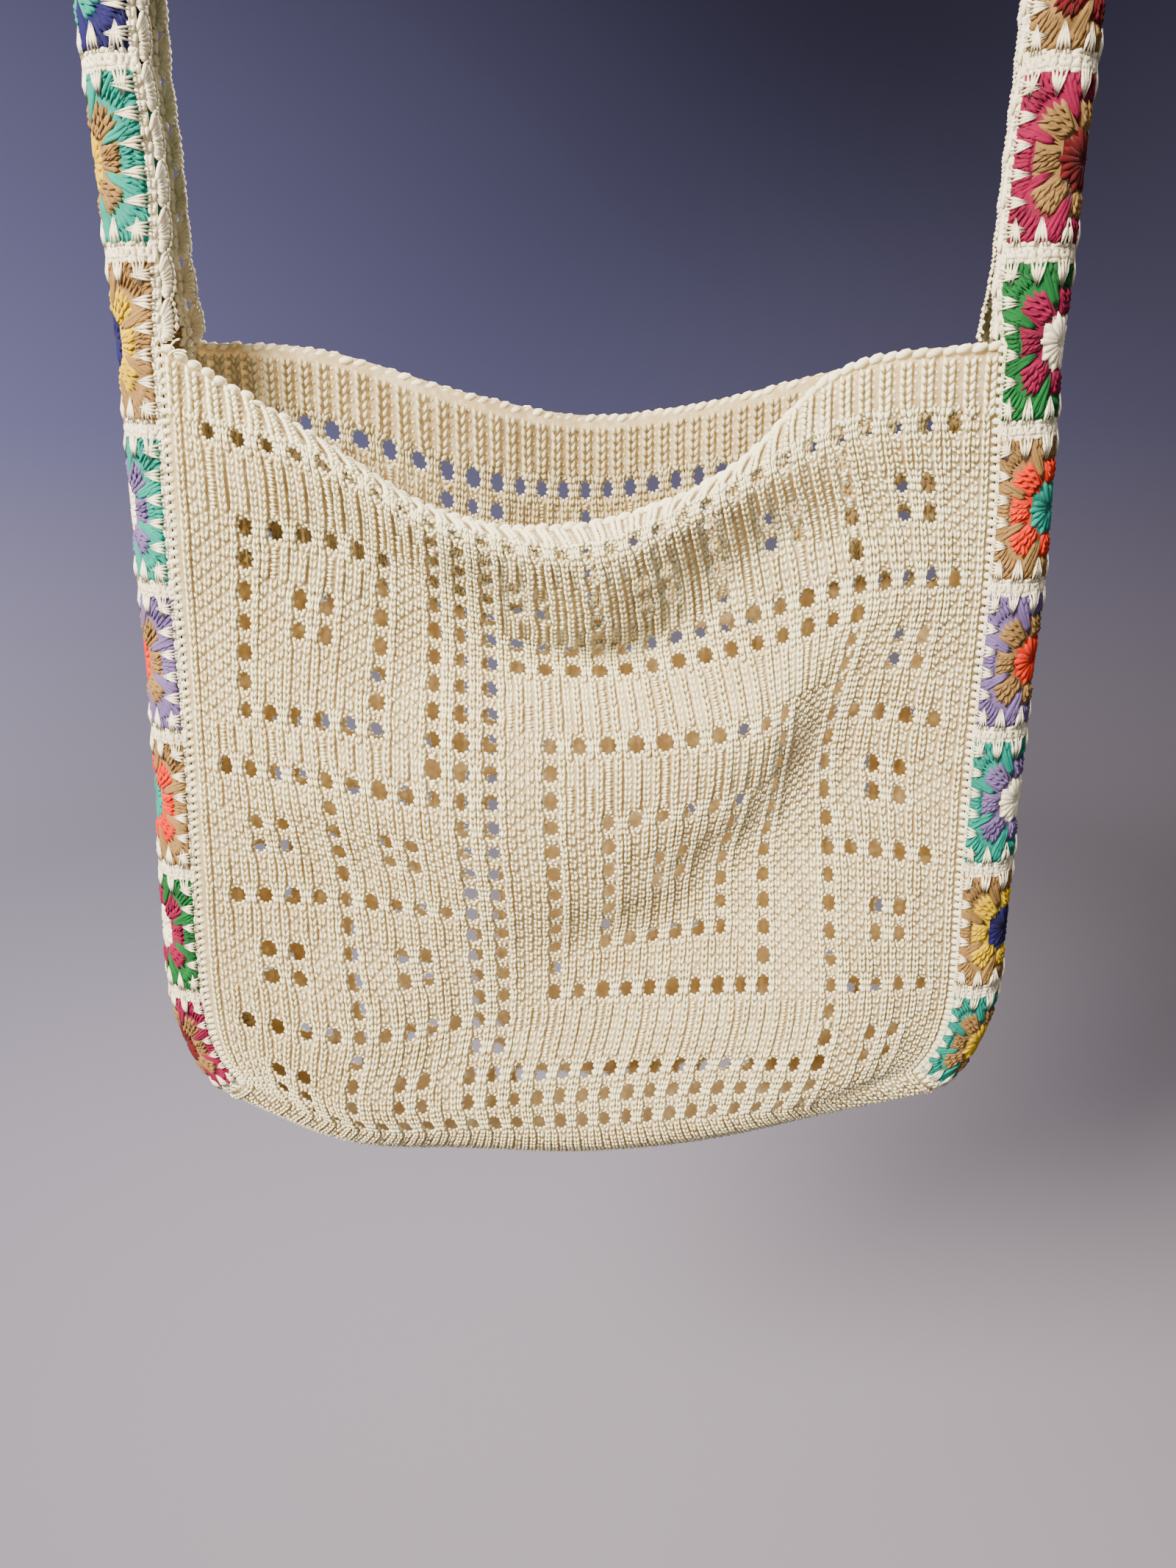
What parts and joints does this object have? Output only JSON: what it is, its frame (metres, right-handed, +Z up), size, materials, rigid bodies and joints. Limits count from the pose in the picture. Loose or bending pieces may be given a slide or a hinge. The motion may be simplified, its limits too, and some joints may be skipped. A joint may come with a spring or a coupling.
{
  "type": "openwork shoulder bag",
  "caption": "Soft knitted openwork shoulder bag with eyelet squares, an open mouth, and sides and strap made of one strip of crocheted squares.",
  "frame": {"origin": "underside of the strap at the top of its arch, in the middle of the bag's width and depth", "axes": "+Z up as the bag hangs, -Y out of the front panel, +X to the right seen from the front"},
  "size_m": [0.3712, 0.0784, 0.6762],
  "materials": {
    "cream_cotton_knit": "matt cotton yarn, knitted",
    "magenta_crochet": "matt cotton yarn, crocheted",
    "green_crochet": "matt cotton yarn, crocheted",
    "tan_crochet": "matt cotton yarn, crocheted",
    "lilac_crochet": "matt cotton yarn, crocheted",
    "teal_crochet": "matt cotton yarn, crocheted",
    "navy_crochet": "matt cotton yarn, crocheted"
  },
  "bodies": {
    "root": {"front_panel": "cream_cotton_knit", "back_panel": "cream_cotton_knit", "square_01": "magenta_crochet", "square_02": "green_crochet", "square_03": "tan_crochet", "square_04": "lilac_crochet", "square_05": "teal_crochet", "square_06": "tan_crochet", "square_07": "teal_crochet", "square_08": "navy_crochet", "square_09": "tan_crochet", "square_10": "magenta_crochet", "square_11": "green_crochet", "square_12": "tan_crochet", "square_13": "lilac_crochet", "square_14": "teal_crochet", "square_15": "tan_crochet", "square_16": "teal_crochet", "square_17": "navy_crochet", "square_18": "tan_crochet", "square_19": "magenta_crochet", "square_20": "green_crochet", "square_21": "tan_crochet", "square_22": "lilac_crochet", "square_23": "teal_crochet", "square_24": "tan_crochet", "square_25": "teal_crochet"}
  },
  "joints": []
}
